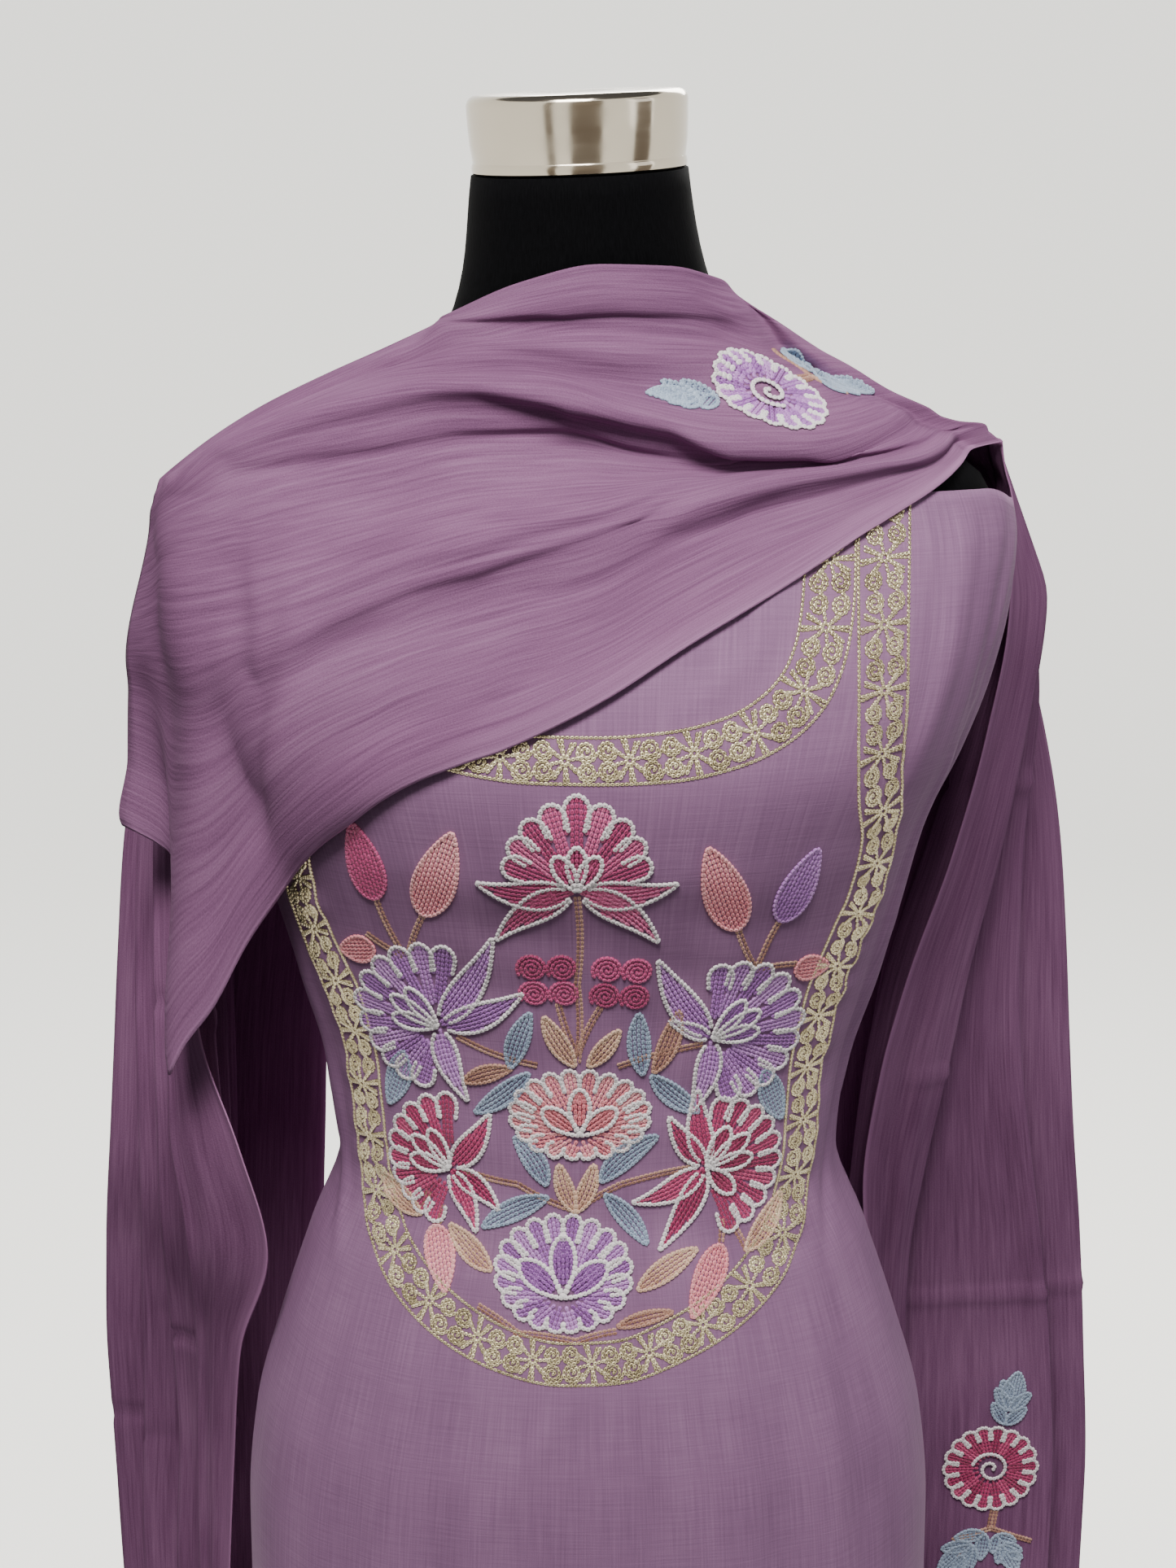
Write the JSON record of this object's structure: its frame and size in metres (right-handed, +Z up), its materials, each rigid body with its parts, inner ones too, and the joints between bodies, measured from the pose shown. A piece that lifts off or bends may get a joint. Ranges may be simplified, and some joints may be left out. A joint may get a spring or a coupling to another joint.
{
  "type": "salwar kameez suit on a limbless dress form",
  "caption": "Straight kameez with slit sides over a gathered salwar, a dupatta draped across the chest with both ends hanging behind the shoulders, on a headless armless dress form.",
  "frame": {"origin": "centre of the base plate's underside", "axes": "+Z up, the front of the garment faces -Y, +X is the right of the picture, which is the garment's left"},
  "size_m": [0.6092, 0.351, 1.5795],
  "materials": {
    "black_jersey": "matt black knitted cover stretched over a hard torso",
    "chrome": "polished warm silver",
    "mauve_silk": "slubbed silk, softly lustrous",
    "mauve_crepe": "crinkled fine silk crepe"
  },
  "bodies": {
    "root": {"form_torso": "black_jersey", "neck_cap": "chrome", "base_plate": "chrome", "stand_pole": "chrome", "stand_flange": "chrome", "kameez_front": "mauve_silk", "kameez_back": "mauve_silk", "salwar_belt": "mauve_silk", "salwar_leg_right": "mauve_silk", "salwar_leg_left": "mauve_silk", "salwar_cuff_right": "mauve_silk", "salwar_cuff_left": "mauve_silk", "dupatta_chest": "mauve_crepe", "dupatta_fall_right": "mauve_crepe", "dupatta_fall_left": "mauve_crepe"}
  },
  "joints": []
}
